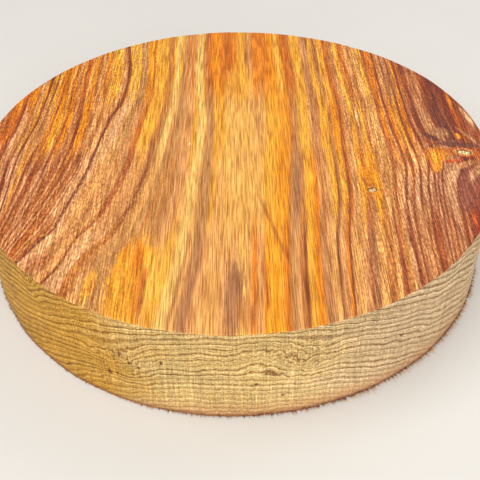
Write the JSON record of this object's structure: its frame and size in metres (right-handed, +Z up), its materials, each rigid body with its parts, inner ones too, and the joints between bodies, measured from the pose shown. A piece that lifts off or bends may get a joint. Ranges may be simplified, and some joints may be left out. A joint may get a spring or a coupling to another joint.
{
  "type": "canarywood bowl blank",
  "caption": "Round disc of striped canarywood, planed on top and band-sawn round its side, ready to be turned into a bowl.",
  "frame": {"origin": "centre of the underside, on the disc's axis", "axes": "+Z up through the thickness to the planed face, Y along the fibres, the pictured front at -Y"},
  "size_m": [0.2575, 0.257, 0.052],
  "materials": {
    "canarywood": "planed bare wood on the top, rough band-sawn on the side and underside"
  },
  "bodies": {
    "root": {"bowl_blank": "canarywood"}
  },
  "joints": []
}
